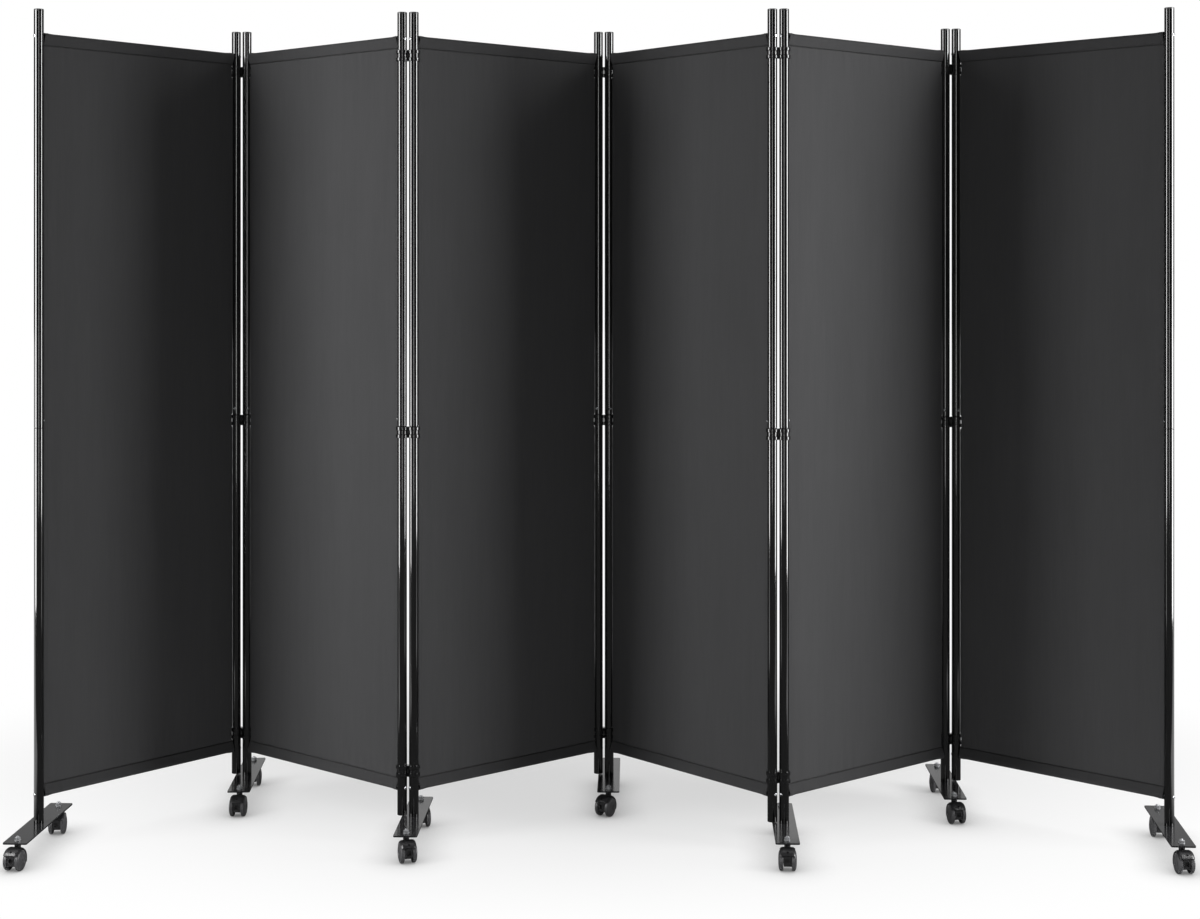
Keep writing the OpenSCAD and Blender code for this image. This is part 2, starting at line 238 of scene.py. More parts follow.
class Finish(Nodes):
    """A material in the making. Numbers that are the same all over go straight to its shader."""

    def __init__(self, name, **values):
        self.material = bpy.data.materials.new(name)
        self.material.use_nodes = True
        super().__init__(self.material.node_tree)
        self.shader = self.tree.nodes["Principled BSDF"]
        for socket, value in values.items():
            self.set(socket.replace("_", " "), value)

    def set(self, socket, value):
        self.feed(self.shader.inputs[socket], value)

    def noise(self, vector, scale, detail=3, stretch=(1, 1, 1)):
        """Cloudy noise about 0.5. A small number in stretch draws it out along that axis."""
        if stretch != (1, 1, 1):
            vector = self.node("ShaderNodeMapping", inputs={0: vector, "Scale": stretch})
        return self.node("ShaderNodeTexNoise", inputs={0: vector, "Scale": scale, "Detail": detail})

    def mix(self, factor, low, high):
        """A colour between low and high, each three numbers or a wire."""
        low, high = (colour if isinstance(colour, Wire) else (*colour, 1) for colour in (low, high))
        # A Mix node has inputs for each kind of value: 6 and 7 are its colours, and output 2 is theirs.
        inputs = {0: factor, 6: low, 7: high}
        return self.node("ShaderNodeMix", {"data_type": "RGBA"}, inputs, out=2)

    def bump(self, height, distance):
        """Raises the surface by height times distance, in metres."""
        self.set("Normal", self.node("ShaderNodeBump", inputs={"Height": height, "Distance": distance}))


print("short ways to a finish:", [name for name in vars(Finish) if not name.startswith("_")])

# %% [markdown]
# The studio is a white floor and a white background. The floor is a pale matt
# sheet below the screen, where it takes soft shadows, and it fades into plain
# white further out, sooner to the front than to the sides. That white is only for
# the camera and for reflections: light that bounces off the floor sees the matt
# sheet, so the lamps alone light the cloth. Close to a wheel the white carries a
# painted shadow: it is dimmed by as much of the sky as the wheel hides, which
# seats the casters. Reflections see the floor white behind the screen and beside
# it, and dark in front of it, so the lower posts stay black between thin highlights.

# %% Lay the floor
FLOOR_SIZE = 60.0
FLOOR_COLOUR = (0.86, 0.86, 0.86, 1)
WHITE = (1, 1, 1, 1)
NEAR_WHITE = 0.6
FADE_FROM = 0.3
FADE_TO = 1.25
FADE_CENTRE_Y = 0.3
SIDE_SQUEEZE = 0.65
BACK_FROM = 0.2
BACK_TO = 1.2
SIDE_FROM = 1.3
SIDE_TO = 1.6
SIDE_FRONT_Y = -1.2
FLOOR_GLOSS = 0.08
CONTACT_REACH = 0.09
PAINTED_CONTACT_SHADOW = 0.9
CONTACT_RAYS = 8


def paper_finish():
    """Matt paper near the screen, plain white further out, and what reflections see of it."""
    paper = Finish("white_paper", Base_Color=FLOOR_COLOUR, Roughness=0.7, Specular_IOR_Level=0.1)
    ground = paper.place()
    oval = {0: ground, "Location": (0, -FADE_CENTRE_Y, 0), "Scale": (SIDE_SQUEEZE, 1, 1)}
    from_centre = paper.node("ShaderNodeMapping", inputs=oval)
    distance = paper.node("ShaderNodeVectorMath", {"operation": "LENGTH"}, {0: from_centre}, out=1)
    far = paper.rise(distance, FADE_FROM, FADE_TO, way="SMOOTHSTEP")
    x, y = paper.split(ground)[:2]
    at_back = paper.rise(y, BACK_FROM, BACK_TO)
    at_side = paper.rise(x.size(), SIDE_FROM, SIDE_TO) * (y > SIDE_FRONT_Y)
    reflected = at_back.at_least(at_side).at_least(FLOOR_GLOSS)
    seen, mirrored, through = paper.rays()
    whiteness = far * (seen + through) + (1 - far) * seen * NEAR_WHITE + mirrored
    # Painted shadow: the glowing white is dimmed where ambient occlusion finds a wheel close by.
    contact = {"Distance": CONTACT_REACH}
    open_sky_for_painted_shadow = paper.node("ShaderNodeAmbientOcclusion", {"samples": CONTACT_RAYS}, contact, out="AO")
    level = (1 - mirrored * (1 - reflected)) * (1 - (1 - open_sky_for_painted_shadow) * PAINTED_CONTACT_SHADOW)
    glow = paper.node("ShaderNodeEmission", inputs={"Color": WHITE})
    dimmed_glow = paper.node("ShaderNodeMixShader", inputs={0: level, 2: glow})
    matt = Wire(paper, paper.shader.outputs[0])
    both = paper.node("ShaderNodeMixShader", inputs={0: whiteness, 1: matt, 2: dimmed_glow})
    paper.feed(paper.tree.nodes["Material Output"].inputs["Surface"], both)
    return paper.material


bpy.ops.object.select_all(action="DESELECT")
bpy.ops.mesh.primitive_plane_add(size=FLOOR_SIZE)
floor = bpy.context.object
floor.name = "floor"
floor.data.materials.append(paper_finish())
print("floor of", FLOOR_SIZE, "m, white from", FADE_TO, "m out")

# %% [markdown]
# Two tall softboxes stand to the left and the right, a little in front of the
# screen. Each lights the panels that face it, and the next panel's shadow makes
# the shade that deepens towards the far corners. A weak strip by the camera gives
# the round posts their thin middle highlight, and a white wall behind the screen
# shines on the base plates. A wide, weak softbox behind shows the cloth's back.
# Reflections don't see that one, so the plates and posts keep their tone.

# %% Light the studio
DIM = 0.1
FRONT_GLOSS = 0.02
SIDE_GLOSS = 0.12
WALL_FROM = 0.12
WALL_TO = 0.4
SIDE_SOFTBOX = (0.75, 2.4)


def make_sky():
    """White to the camera. Reflections see a white wall behind the screen, dim sides and a dark front."""
    world = bpy.data.worlds.new("studio")
    world.use_nodes = True
    bpy.context.scene.world = world
    sky = Nodes(world.node_tree)
    x, y = sky.split(sky.place("Generated"))[:2]
    wall = 1 - sky.rise(x.size(), WALL_FROM, WALL_TO) * (1 - SIDE_GLOSS)
    behind = y > 0
    reflected = behind * wall + (1 - behind) * FRONT_GLOSS
    seen, mirrored, through = sky.rays()
    looked_at = seen.at_least(through)
    level = looked_at + (1 - looked_at) * (mirrored * reflected + (1 - mirrored) * DIM)
    glow = sky.tree.nodes["Background"]
    sky.feed(glow.inputs["Color"], WHITE)
    sky.feed(glow.inputs["Strength"], level)


def softbox(name, place, aim, size, watts):
    """An upright area lamp at a place, of size (width, height), turned towards a point."""
    lamp_data = bpy.data.lights.new(name, "AREA")
    lamp_data.shape = "RECTANGLE"
    lamp_data.energy = watts
    lamp_data.size, lamp_data.size_y = size
    lamp = bpy.data.objects.new(name, lamp_data)
    lamp.location = place
    lamp.rotation_euler = (Vector(aim) - Vector(place)).to_track_quat("-Z", "Y").to_euler()
    bpy.context.scene.collection.objects.link(lamp)
    return lamp


make_sky()
softbox("left_softbox", place=(-2.3, -1.15, 1.45), aim=(-0.6, -0.2, 1.4), size=SIDE_SOFTBOX, watts=45)
softbox("right_softbox", place=(2.3, -0.9, 1.45), aim=(0.6, -0.2, 1.4), size=SIDE_SOFTBOX, watts=54)
softbox("front_strip", place=(0, -4.6, 1.5), aim=(0, 0, 1.4), size=(0.5, 2.6), watts=15)
back_softbox = softbox("back_softbox", place=(0, 3.4, 1.3), aim=(0, 0, 0.95), size=(3.2, 1.2), watts=30)
back_softbox.visible_glossy = False
print("lamps", len(bpy.data.lights))

# %% [markdown]
# The posts are steel tube in gloss black powder coat. Powder flows out as it is
# baked but keeps a faint orange peel, which breaks up long reflections a little,
# so the finish is a smooth dark coat with a very shallow, wide bump. The plastic
# cap on top, in the same node, is told apart by its height and is less glossy.

# %% Finish the posts
POST_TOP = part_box("panel_1_posts")[1].z
CAP_HEIGHT = 4 * MM
CAP_ROUGHER = 0.3


def post_finish():
    coat = Finish("gloss_black_powder_coat", IOR=1.9, Coat_Weight=0.6, Coat_Roughness=0.03)
    place = coat.place()
    height = coat.split(place)[2]
    cap = height > POST_TOP - CAP_HEIGHT
    scuffs = coat.noise(place, scale=60, detail=6, stretch=(1, 1, 0.2))
    coat.set("Roughness", scuffs.between(0.06, 0.11) + cap * CAP_ROUGHER)
    coat.set("Base Color", coat.mix(scuffs, (0.001, 0.001, 0.0011), (0.003, 0.003, 0.0032)))
    coat.bump(coat.noise(place, scale=420), distance=0.012 * MM)
    return coat.material


post_coat = post_finish()
print("finish of the posts:", post_coat.name)

# %% [markdown]
# The hem rods and their screws are zinc plated. Fresh zinc is bright with a
# slightly cloudy, cold grey spangle. Each flake of it could be drawn, but only
# short ends of the rods show, so two noises are enough: a slow one drifts the
# roughness and the tone, and a fine one ripples the surface.

# %% Finish the zinc parts


def zinc_finish():
    zinc = Finish("bright_zinc", Metallic=1)
    place = zinc.place()
    cloud = zinc.noise(place, scale=180, detail=5)
    fine = zinc.noise(place, scale=2500)
    zinc.set("Roughness", cloud.between(0.16, 0.36))
    zinc.set("Base Color", zinc.mix(cloud, (0.55, 0.56, 0.58), (0.83, 0.84, 0.86)))
    zinc.bump(fine, distance=0.01 * MM)
    return zinc.material


bright_zinc = zinc_finish()
print("finish of the rods and screws:", bright_zinc.name)

# %% [markdown]
# The clips are moulded in black plastic from a polished mould. Moulded plastic
# has a fine, even grain and slow flow marks. Both are far too shallow to model,
# so one noise of each size makes them: the slow one in the gloss and the tone,
# and the fine one as a bump.

# %% Finish the clips


def clip_finish():
    plastic = Finish("black_moulded_clip", IOR=1.9)
    place = plastic.place()
    flow = plastic.noise(place, scale=45, detail=2)
    plastic.set("Roughness", flow.between(0.12, 0.24))
    plastic.set("Base Color", plastic.mix(flow, (0.003, 0.003, 0.0035), (0.008, 0.008, 0.0085)))
    plastic.bump(plastic.noise(place, scale=1600), distance=0.02 * MM)
    return plastic.material


clip_plastic = clip_finish()
print("finish of the clips:", clip_plastic.name)

# %% [markdown]
# A base node holds a painted plate and the zinc stems, washers and nuts bolted
# through it. The plate is the only part between two heights, so its height picks
# the gloss black paint, and everything above or below it is zinc. A slow cloud
# drifts the tone and the gloss of both. The bloom on old zinc isn't quite metal,
# so the nuts catch a little of the lamps' light from every side.

# %% Finish the bases
PLATE_FOOT = 52 * MM
PLATE_TOP = 55 * MM
LEVEL_SLACK = 0.02 * MM
ZINC_METALLIC = 0.75
ZINC_ROUGHER = 0.2
ZINC_TONES = ((0.6, 0.61, 0.63), (0.85, 0.86, 0.88))
PAINT_TONES = ((0.012, 0.012, 0.013), (0.03, 0.03, 0.032))


def base_finish():
    coat = Finish("gloss_black_plate", IOR=1.25)
    place = coat.place()
    height = coat.split(place)[2]
    plate = (height > PLATE_FOOT - LEVEL_SLACK) * (height < PLATE_TOP + LEVEL_SLACK)
    cloud = coat.noise(place, scale=28, detail=5)
    paint = coat.mix(cloud, *PAINT_TONES)
    metal = coat.mix(cloud, *ZINC_TONES)
    coat.set("Base Color", coat.mix(plate, metal, paint))
    coat.set("Metallic", (1 - plate) * ZINC_METALLIC)
    coat.set("Roughness", cloud.between(0.12, 0.22) + (1 - plate) * ZINC_ROUGHER)
    coat.bump(coat.noise(place, scale=700), distance=0.01 * MM)
    return coat.material


plate_coat = base_finish()
print("finish of the bases:", plate_coat.name)

# %% [markdown]
# The caster housings are black nylon with a fine spark-eroded grain, and the
# wheels a dark grey nylon. Handling and dust make the roughness and the tone of
# both drift from place to place.

# %% Finish the casters


def nylon_finish(name, tones, roughness, grain):
    nylon = Finish(name, IOR=1.7)
    place = nylon.place()
    cloud = nylon.noise(place, scale=70, detail=4)
    nylon.set("Roughness", cloud.between(*roughness))
    nylon.set("Base Color", nylon.mix(cloud, *tones))
    nylon.bump(nylon.noise(place, scale=grain), distance=0.05 * MM)
    return nylon.material


HOUSING_TONES = ((0.018, 0.018, 0.019), (0.036, 0.036, 0.038))
WHEEL_TONES = ((0.07, 0.07, 0.073), (0.115, 0.115, 0.12))
housing_nylon = nylon_finish("black_nylon", HOUSING_TONES, roughness=(0.24, 0.39), grain=1500)
wheel_nylon = nylon_finish("dark_grey_nylon", WHEEL_TONES, roughness=(0.28, 0.43), grain=1100)
print("finishes of the casters:", housing_nylon.name, wheel_nylon.name)

# %% [markdown]
# Each node of the packed model keeps its shape and takes the finish of its kind,
# by assigning to its material slots. The cloth nodes are left: sewn cloth will
# stand for them.

# %% Dress the packed nodes
FINISH_OF = {
    "_posts": post_coat,
    "_rods_and_screws": bright_zinc,
    "_housing": housing_nylon,
    "_wheels": wheel_nylon,
    "clips_": clip_plastic,
    "base_": plate_coat,
}
dressed = 0
for name, node in frame["nodes"].items():
    for part, material in FINISH_OF.items():
        if name.endswith(part) or name.startswith(part):
            for material_slot in node.material_slots:
                material_slot.material = material
            dressed += 1
print("nodes with a finish", dressed)

# %% [markdown]
# The cloth is a plain woven polyester. In a close look it is warp over weft,
# with slubs, which are thicker lengths of thread, mostly upright. The pattern
# follows the cloth and not the room, so it reads the UV map, which the sewing
# below fills with the flat cloth's own metres. Where the hem doubles the cloth,
# no light comes through, so the hem bands get a painted shade a little darker.

# %% Finish the cloth
THREAD = 0.9 * MM
SLUB_SHARE = 0.5
BAND_SHARE = 0.3
CLOUD_SHARE = 0.2
PAINTED_HEM_SHADE = 0.25
WEAVE_DEPTH = 0.12 * MM
THREAD_HEIGHT = 0.6
SLUB_HEIGHT = 0.8


def cloth_finish(flat_length, sleeve_length):
    weave = Finish("charcoal_woven_cloth", Specular_IOR_Level=0.2, Sheen_Weight=0.05, Sheen_Roughness=0.4)
    flat = weave.place("UV")
    across, down = weave.split(flat)[:2]
    warp = (across * (2 * math.pi / THREAD)).sine()
    weft = (down * (2 * math.pi / THREAD)).sine()
    threads = warp * weft * 0.5 + 0.5
    slubs = weave.noise(flat, scale=420, detail=4, stretch=(1, 0.035, 1))
    bands = weave.noise(flat, scale=60, detail=3, stretch=(1, 0.06, 1))
    clouds = weave.noise(flat, scale=6, detail=3)
    painted_shade_on_hems = (down < sleeve_length) + (down > flat_length - sleeve_length)
    shade = slubs * SLUB_SHARE + bands * BAND_SHARE + clouds * CLOUD_SHARE
    tone = weave.mix(shade, (0.05, 0.05, 0.0515), (0.084, 0.084, 0.086))
    # Painted shade: the doubled hem bands are mixed towards a darker tone.
    weave.set("Base Color", weave.mix(painted_shade_on_hems * PAINTED_HEM_SHADE, tone, (0.03, 0.03, 0.031)))
    weave.set("Roughness", slubs.between(0.82, 0.97))
    weave.bump(threads * THREAD_HEIGHT + slubs * SLUB_HEIGHT, distance=WEAVE_DEPTH)
    return weave.material


def thread_finish():
    thread = Finish("charcoal_thread", Specular_IOR_Level=0.4, Sheen_Weight=0.2)
    twist = thread.noise(thread.place(), scale=3000, detail=2)
    thread.set("Base Color", thread.mix(twist, (0.02, 0.02, 0.021), (0.05, 0.05, 0.052)))
    thread.set("Roughness", twist.between(0.5, 0.7))
    thread.bump(twist, distance=0.05 * MM)
    return thread.material


sewing_thread = thread_finish()
print("thread pitch", THREAD, "finish of the seams:", sewing_thread.name)

# %% [markdown]
# Each panel's cloth is one cut piece. Its sides are folded 12 mm to the back and
# stitched. Its ends are then turned over the rods and stitched down, so each rod
# lies in a sleeve with a teardrop section. Sewing keeps lengths, so the cloth is
# a flat grid, and every point of it is carried to its place by its distance
# along the flat cloth. The section comes first: from the hem's raw edge, round
# the rod and down to the stitched line.

# %% Shape a sleeve
ROD_TO_SEAM = 18.8 * MM
TURN_IN = 4 * MM
LAYER = 0.85 * MM
LOOP = 5.9 * MM
LOOP_STEPS = 20
STRAIGHT_STEPS = 5


def sleeve_section(loop, layers):
    """Points (to the back, up from the rod) from the raw edge to the stitched line in front."""
    depth = layers * LAYER
    lean = math.acos(loop / ROD_TO_SEAM)
    turns = np.linspace(lean, 2 * math.pi - lean, LOOP_STEPS)
    arc = np.column_stack((loop * np.sin(turns), -loop * np.cos(turns)))
    steps = np.linspace(0, 1, STRAIGHT_STEPS, endpoint=False)[:, None]
    seam_back = np.array((depth, -ROD_TO_SEAM))
    seam_front = np.array((0, -ROD_TO_SEAM))
    up = seam_back + (arc[0] - seam_back) * steps
    down = arc[-1] + (seam_front - arc[-1]) * steps[1:]
    raw_edge = [(depth, -ROD_TO_SEAM - TURN_IN)]
    return np.vstack((raw_edge, up, arc, down, [seam_front]))


SLEEVE_ROWS = len(sleeve_section(LOOP, 1))
print("rows of cloth in a sleeve", SLEEVE_ROWS)

# %% [markdown]
# The whole section runs down the panel from the upper sleeve to the lower one.
# Near the posts the side hem lies inside the sleeve as a second layer, so the
# loop is a little wider there. Extra rows lie close to the clips, where the
# sides are drawn in.

# %% Shape the section of a panel
PACKED_SLEEVE = 6.5 * MM
WIDE_LOOP = 6.9 * MM
EVEN_ROWS = 132
CLIP_HEIGHT = 23 * MM
MIDDLE_CLIP = 847.5 * MM
CLOSE_ROWS = np.array((-17, -14, -11, 11, 14, 17)) * MM
clip_low, clip_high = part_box("clips_1_2")
clip_levels = (clip_low.z + CLIP_HEIGHT / 2, MIDDLE_CLIP, clip_high.z - CLIP_HEIGHT / 2)
cloth_low, cloth_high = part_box("panel_1_fabric")
lower_rod = cloth_low.z + PACKED_SLEEVE
upper_rod = cloth_high.z - PACKED_SLEEVE


def panel_section(loop, layers):
    """Points (to the back, height) down the whole cloth, from one raw edge to the other."""
    sleeve = sleeve_section(loop, layers)
    upper = sleeve + (0, upper_rod)
    lower = sleeve[::-1] * (1, -1) + (0, lower_rod)
    even = np.linspace(upper[-1, 1], lower[0, 1], EVEN_ROWS + 2)[1:-1]
    heights = np.sort(np.concatenate((even, *(level + CLOSE_ROWS for level in clip_levels))))[::-1]
    sheet = np.column_stack((np.zeros(len(heights)), heights))
    return np.vstack((upper, sheet, lower))


def run_length(points):
    """Distance along a row of points, from its start to each point."""
    return np.concatenate(([0], np.cumsum(np.linalg.norm(np.diff(points, axis=0), axis=1))))


middle_section = panel_section(LOOP, 1)
end_section = panel_section(WIDE_LOOP, 3)
flat_down = run_length(middle_section)
ROWS = len(middle_section)
print("flat length of a cloth", round(flat_down[-1], 4))

# %% [markdown]
# Across the panel the cloth goes from the raw edge of one side hem, round a tight
# fold at the post, over the width and back round the other fold.

# %% Shape the width of a panel
EDGE_GAP = 11 * MM
SIDE_HEM = 12 * MM
HEM_STEPS = np.array((12, 10, 7, 4, 2)) * MM
EVEN_COLUMNS = 112
FOLD_STEPS = 5


def panel_width():
    """Points (along the panel, to the back) across the whole cloth."""
    bend = LAYER / 2
    turns = np.linspace(math.pi / 2, -math.pi / 2, FOLD_STEPS)
    fold = np.column_stack((EDGE_GAP + bend - bend * np.cos(turns), bend + bend * np.sin(turns)))
    hem = np.column_stack((EDGE_GAP + HEM_STEPS, np.full(len(HEM_STEPS), LAYER)))
    left = np.vstack((hem, fold))
    right = left[::-1] * (-1, 1) + (panel_pitch, 0)
    inner = np.linspace(left[-1, 0], right[0, 0], EVEN_COLUMNS + 2)[1:-1]
    return np.vstack((left, np.column_stack((inner, np.zeros(EVEN_COLUMNS))), right))


width_points = panel_width()
flat_across = run_length(width_points)
COLUMNS = len(width_points)
print("flat width of a cloth", round(flat_across[-1], 4), "grid", COLUMNS, "by", ROWS)

# %% [markdown]
# Taut cloth is never quite flat. Stitching gathers it a little, so short puckers
# stand along each seam and die out over a few centimetres, and long shallow waves
# hang between the rods. A texture could fake them, but real relief also bends the
# edges and the light. Each is a sum of a few sine waves with chance lengths.

# %% Let the cloth pucker
PUCKER = 0.55 * MM
PUCKER_REACH = 26 * MM
END_PUCKERS = (16 * MM, 34 * MM)
SIDE_PUCKERS = (20 * MM, 48 * MM)
SIDE_SHARE = 0.8
SIDE_SEAM = 10 * MM
WAVE = 1.1 * MM
WAVE_WIDTHS = (0.11, 0.3)
WAVE_LENGTHS = (0.5, 1.6)
WAVE_LEAN = 0.12
WAVE_TURNS = 2.1
STEADY_SHARE = 0.6
CALM_SIDE = 0.06
CALM_END = 8 * MM
SINES = 6
SINES_HEIGHT = 2.5


def gather(run, chance, lengths):
    """A wavy line of about unit height along a seam, made of a few sine waves."""
    line = np.zeros_like(run)
    for _ in range(SINES):
        line += np.sin(2 * math.pi * run / chance.uniform(*lengths) + chance.uniform(0, 2 * math.pi))
    return line / SINES_HEIGHT


def relief(along, height, chance):
    """How far each point of a cloth stands to the back of the flat sheet."""
    from_left = along - EDGE_GAP
    from_right = panel_pitch - EDGE_GAP - along
    side = np.minimum(from_left, from_right)
    top = upper_rod - ROD_TO_SEAM - height
    foot = height - lower_rod - ROD_TO_SEAM
    in_sheet = np.clip(np.minimum(top, foot) / CALM_END, 0, 1)
    bumps = np.zeros_like(along)
    for gap in (top, foot):
        bumps += gather(along, chance, END_PUCKERS) * np.exp(-np.abs(gap) / PUCKER_REACH)
    for gap in (from_left, from_right):
        fading = np.exp(-np.abs(gap - SIDE_SEAM) / PUCKER_REACH)
        bumps += gather(height, chance, SIDE_PUCKERS) * fading * SIDE_SHARE
    upright = gather(along + WAVE_LEAN * np.sin(height * WAVE_TURNS), chance, WAVE_WIDTHS)
    slow = gather(height, chance, WAVE_LENGTHS)
    strength = STEADY_SHARE + (1 - STEADY_SHARE) * slow
    waves = upright * strength * np.clip(side / CALM_SIDE, 0, 1)
    return (bumps * PUCKER + waves * WAVE) * in_sheet


print("height of the puckers", PUCKER, "and of the waves", WAVE)

# %% [markdown]
# The ring of a clip goes round the post beside the cloth and pushes the cloth's
# side in a little. The side could be cut out there, but real cloth gives way, so
# its points move, most at the edge and less further in. The outermost posts have
# no clips, so the cloth stays straight beside them.

# %% Draw the sides in at the clips
DRAW_IN = 2.8 * MM
DRAW_REACH = 45 * MM
CLIP_REACH = 15 * MM
CLIP_SQUARENESS = 6


def drawn_in(along, height, i):
    """Places along cloth i, with its sides pulled towards its middle round each clip."""
    pull = sum(np.exp(-(((height - level) / CLIP_REACH) ** CLIP_SQUARENESS)) for level in clip_levels)
    from_left = np.clip(1 - (along - EDGE_GAP) / DRAW_REACH, 0, 1) * (i > 0)
    from_right = np.clip(1 - (panel_pitch - EDGE_GAP - along) / DRAW_REACH, 0, 1) * (i < PANELS - 1)
    return along + DRAW_IN * pull * (from_left - from_right)


print("sides drawn in", DRAW_IN, "at the heights", [round(level, 4) for level in clip_levels])

# %% [markdown]
# Now every crossing of the two sections gets its place in the room. The relief
# is added on the flat sheet only, so the sleeves stay tight round their rods.

# %% Place a panel's cloth
HEM_BLEND = 1.6


def cloth_points(i):
    """The place of every grid point of panel i's cloth, by row and column."""
    start, along, back = panel_frame(i)
    chance = np.random.default_rng(i + 1)
    across = width_points[:, 0]
    side = np.minimum(across, panel_pitch - across) - EDGE_GAP
    wide = np.clip(HEM_BLEND - side / SIDE_HEM, 0, 1)[None, :, None]
    section = middle_section[:, None, :] * (1 - wide) + end_section[:, None, :] * wide
    run = np.gradient(section, axis=0)
    run /= np.linalg.norm(run, axis=2, keepdims=True)
    inward = np.stack((-run[..., 1], run[..., 0]), axis=2)
    section = section + inward * width_points[None, :, 1:2]
    x = np.broadcast_to(across, section.shape[:2])
    height = section[..., 1]
    depth = section[..., 0] + relief(x, height, chance)
    x = drawn_in(x, height, i)
    ground = start + x[..., None] * along + depth[..., None] * back
    return ground + height[..., None] * np.array((0, 0, 1))


print("lowest and highest point of cloth 1", cloth_points(0)[..., 2].min(), cloth_points(0)[..., 2].max())

# %% [markdown]
# A grid with one vertex for each crossing becomes the cloth. Its vertices move to
# their places, its UV map takes the flat metres, and Solidify gives the cloth its
# thickness to both sides. A cloth simulation could find such folds too, but this
# cloth is held taut all round, and made this way it is the same in each run.

# %% Sew the cloths
CLOTH_THICKNESS = 0.75 * MM
woven_cloth = cloth_finish(flat_down[-1], flat_down[SLEEVE_ROWS - 1])


def sew_cloth(i):
    bpy.ops.object.select_all(action="DESELECT")
    bpy.ops.mesh.primitive_grid_add(x_subdivisions=COLUMNS - 1, y_subdivisions=ROWS - 1, size=1)
    cloth = bpy.context.object
    cloth.name = f"panel_{i + 1}_cloth"
    mesh = cloth.data
    mesh.vertices.foreach_set("co", cloth_points(i).ravel())
    flat = np.stack(np.meshgrid(flat_across, flat_down), axis=2).reshape(-1, 2)
    corners = np.empty(len(mesh.loops), dtype=np.int32)
    mesh.loops.foreach_get("vertex_index", corners)
    mesh.uv_layers.active.data.foreach_set("uv", flat[corners].ravel())
    mesh.update()
    thicken = cloth.modifiers.new("thickness", "SOLIDIFY")
    thicken.thickness = CLOTH_THICKNESS
    thicken.offset = 0
    bpy.ops.object.modifier_apply(modifier=thicken.name)
    bpy.ops.object.shade_smooth()
    cloth.data.materials.clear()
    cloth.data.materials.append(woven_cloth)
    return cloth


cloths = [sew_cloth(i) for i in range(PANELS)]
print("vertices in a cloth", len(cloths[0].data.vertices))

# %% [markdown]
# Stitches are what the eye looks for on a hem. One stitch is a short bead of
# thread, pinched at both ends where it dives into the cloth. A picture of stitches
# would look flat from the side, so one bead is modelled: a short open tube whose
# ends are extruded and merged to a point. Each stitch on the cloth is a copy of it.

# %% Model one stitch
STITCH = 3.2 * MM
STITCH_PITCH = 4.2 * MM
STITCH_BODY = 0.7
STITCH_TIP = 0.15
THREAD_RADIUS = 0.27 * MM
THREAD_SIDES = 6

bpy.ops.object.select_all(action="DESELECT")
bpy.ops.mesh.primitive_cylinder_add(
    vertices=THREAD_SIDES, radius=THREAD_RADIUS, depth=STITCH * STITCH_BODY, end_fill_type="NOTHING"
)
stitch = bpy.context.object
bpy.ops.object.mode_set(mode="EDIT")
bpy.ops.mesh.select_all(action="DESELECT")
bpy.ops.object.mode_set(mode="OBJECT")
for side in (-1, 1):
    for edge in stitch.data.edges:
        ends = [stitch.data.vertices[end].co.z * side for end in edge.vertices]
        edge.select = min(ends) > 0
    bpy.ops.object.mode_set(mode="EDIT")
    bpy.ops.mesh.select_mode(type="EDGE")
    outward = (0, 0, side * STITCH * STITCH_TIP)
    bpy.ops.mesh.extrude_region_move(TRANSFORM_OT_translate={"value": outward})
    bpy.ops.mesh.merge(type="CENTER")
    bpy.ops.mesh.select_all(action="DESELECT")
    bpy.ops.object.mode_set(mode="OBJECT")
stitch_points = np.array([vertex.co for vertex in stitch.data.vertices])
# Extrude lists its faces in a chance order, and sorting makes each run the same.
stitch_faces = sorted(tuple(face.vertices) for face in stitch.data.polygons)
bpy.data.objects.remove(stitch)
print("faces in a stitch", len(stitch_faces))

# %% [markdown]
# A seam is a line on the cloth's grid, and the grid's points lie unevenly along
# it. A machine sews even stitches, so the line is measured out in steps of one
# stitch pitch, and each step gets its place, its direction and the way up.

# %% Measure out a seam
SEAM_START = 3 * MM


def at_places(places, run, points):
    """The points at these distances along a line of points."""
    return np.column_stack([np.interp(places, run, points[:, axis]) for axis in range(3)])


def unit(vectors):
    """The same directions, each of length 1."""
    return vectors / np.linalg.norm(vectors, axis=1, keepdims=True)


def along_line(points, normals):
    """Even places, directions and normals along a line, each one stitch pitch after the last."""
    run = run_length(points)
    places = np.arange(SEAM_START, run[-1] - SEAM_START, STITCH_PITCH)
    half = STITCH / 2
    ahead = unit(at_places(places + half, run, points) - at_places(places - half, run, points))
    up = at_places(places, run, normals)
    up = unit(up - ahead * np.sum(up * ahead, axis=1, keepdims=True))
    return at_places(places, run, points), ahead, up


print("stitches on a metre of seam", round(1 / STITCH_PITCH))

# %% [markdown]
# Each cloth has four seams: one down each side hem and one across each sleeve. A
# seam shows on both faces of the cloth, so there are eight lines of stitches. They
# follow rows and columns of the grid, so they stay on the cloth wherever it bends.

# %% Find the seams
HEM_COLUMN = 1
CORNER_COLUMNS = 10
EDGE_ROWS = 2
TINY = 1e-12


def hem_seam_column():
    """The column of the single cloth that lies closest to the side hem's seam, on the left half."""
    across, depth = width_points[:COLUMNS // 2].T
    off = np.abs(across - EDGE_GAP - SIDE_SEAM)
    off[depth > 0] = math.inf
    return int(np.argmin(off))


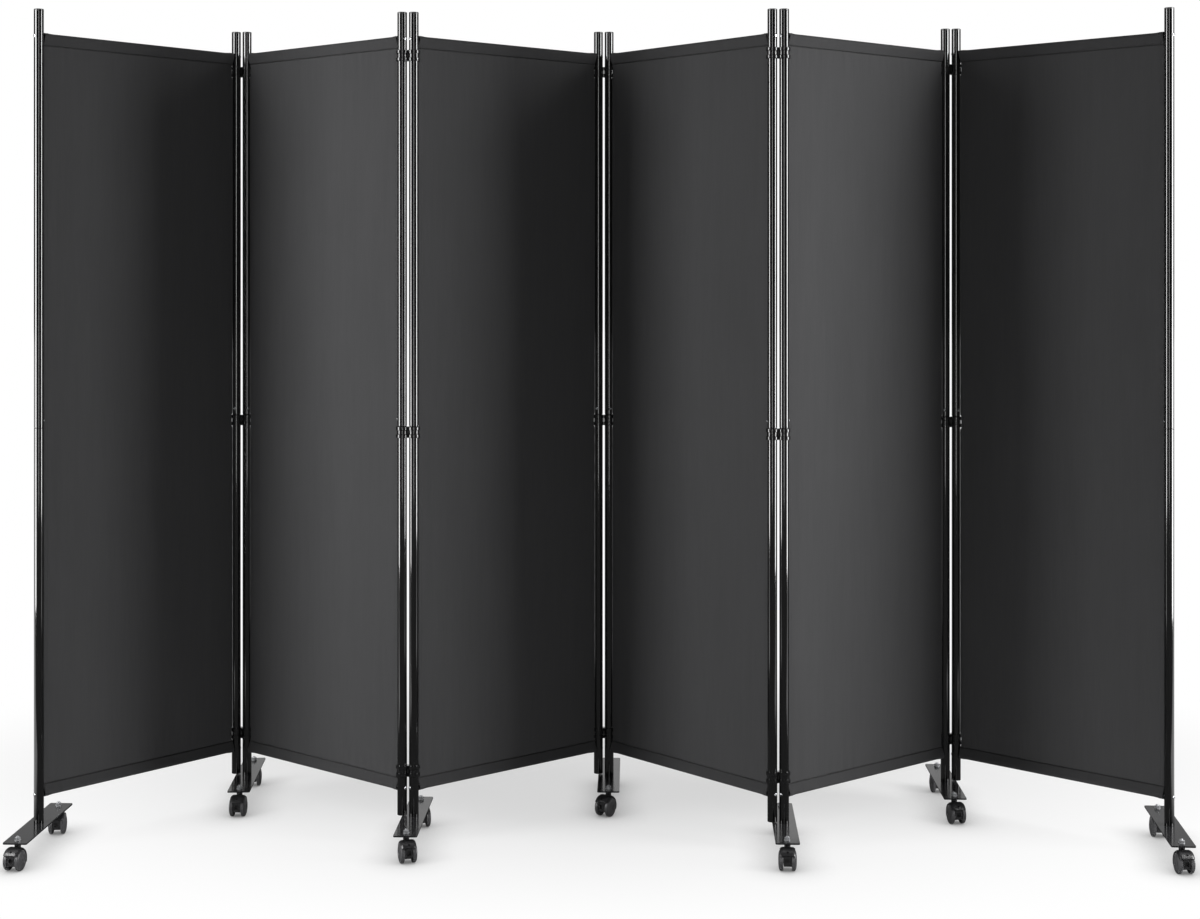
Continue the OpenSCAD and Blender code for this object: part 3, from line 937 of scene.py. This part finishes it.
def seam_lines(grid):
    """The points and normals of each stitched line on a cloth's grid."""
    rear = np.cross(np.gradient(grid, axis=1), np.gradient(grid, axis=0))
    rear /= np.linalg.norm(rear, axis=2, keepdims=True) + TINY
    seam_column = hem_seam_column()
    seam_row = SLEEVE_ROWS - 1
    tall = slice(EDGE_ROWS, -EDGE_ROWS)
    sheet = slice(SLEEVE_ROWS, -SLEEVE_ROWS)
    inner = slice(CORNER_COLUMNS, COLUMNS - CORNER_COLUMNS)
    lines = []
    for column in (seam_column, COLUMNS - 1 - seam_column):
        lines.append((grid[tall, column], -rear[tall, column]))
    for column in (HEM_COLUMN, COLUMNS - 1 - HEM_COLUMN):
        lines.append((grid[sheet, column], rear[sheet, column]))
    for row in (seam_row, ROWS - 1 - seam_row, 1, ROWS - 2):
        lines.append((grid[row, inner], -rear[row, inner]))
    return lines


print("lines of stitches on a cloth", len(seam_lines(cloth_points(0))))

# %% [markdown]
# Now one stitch after the other is laid along each seam, sunk a little into the
# cloth's face. Thousands of separate objects would be slow, so the stitches of a
# panel become one mesh.

# %% Lay the stitches


def sew_seams(i):
    """All the stitches of panel i's cloth as one piece."""
    points, faces = [], []
    for line, normals in seam_lines(cloth_points(i)):
        at, ahead, up = along_line(line, normals)
        beside = np.cross(ahead, up)
        sunk = at + up * CLOTH_THICKNESS / 2
        for centre, x, y, z in zip(sunk, beside, up, ahead):
            first = len(points) * len(stitch_points)
            points.append(centre + stitch_points @ np.array((x, y, z)))
            faces.extend(tuple(first + corner for corner in face) for face in stitch_faces)
    mesh = bpy.data.meshes.new(f"panel_{i + 1}_stitches")
    mesh.from_pydata(np.vstack(points).tolist(), [], faces)
    mesh.materials.append(sewing_thread)
    seams = bpy.data.objects.new(f"panel_{i + 1}_stitches", mesh)
    bpy.context.scene.collection.objects.link(seams)
    bpy.ops.object.select_all(action="DESELECT")
    seams.select_set(True)
    bpy.context.view_layer.objects.active = seams
    bpy.ops.object.mode_set(mode="EDIT")
    bpy.ops.mesh.select_all(action="SELECT")
    bpy.ops.mesh.normals_make_consistent(inside=False)
    bpy.ops.object.mode_set(mode="OBJECT")
    bpy.ops.object.shade_smooth()
    return seams


all_seams = [sew_seams(i) for i in range(PANELS)]
print("stitches on a panel", len(all_seams[0].data.vertices) // len(stitch_points))

# %% [markdown]
# On the real screen the rods and posts hold each cloth taut, and it goes where
# its panel goes. So the cloth and its stitches ride on the panel's body. The sewn
# cloth takes the place of the plain packed one, which is hidden.

# %% Hang the cloths on their panels
for i, (cloth, seams) in enumerate(zip(cloths, all_seams)):
    panel = f"panel_{i + 1}"
    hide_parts(f"{panel}_fabric")
    for piece in (cloth, seams):
        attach(piece, panel)
print("cloths hung", len(cloths))

# %% [markdown]
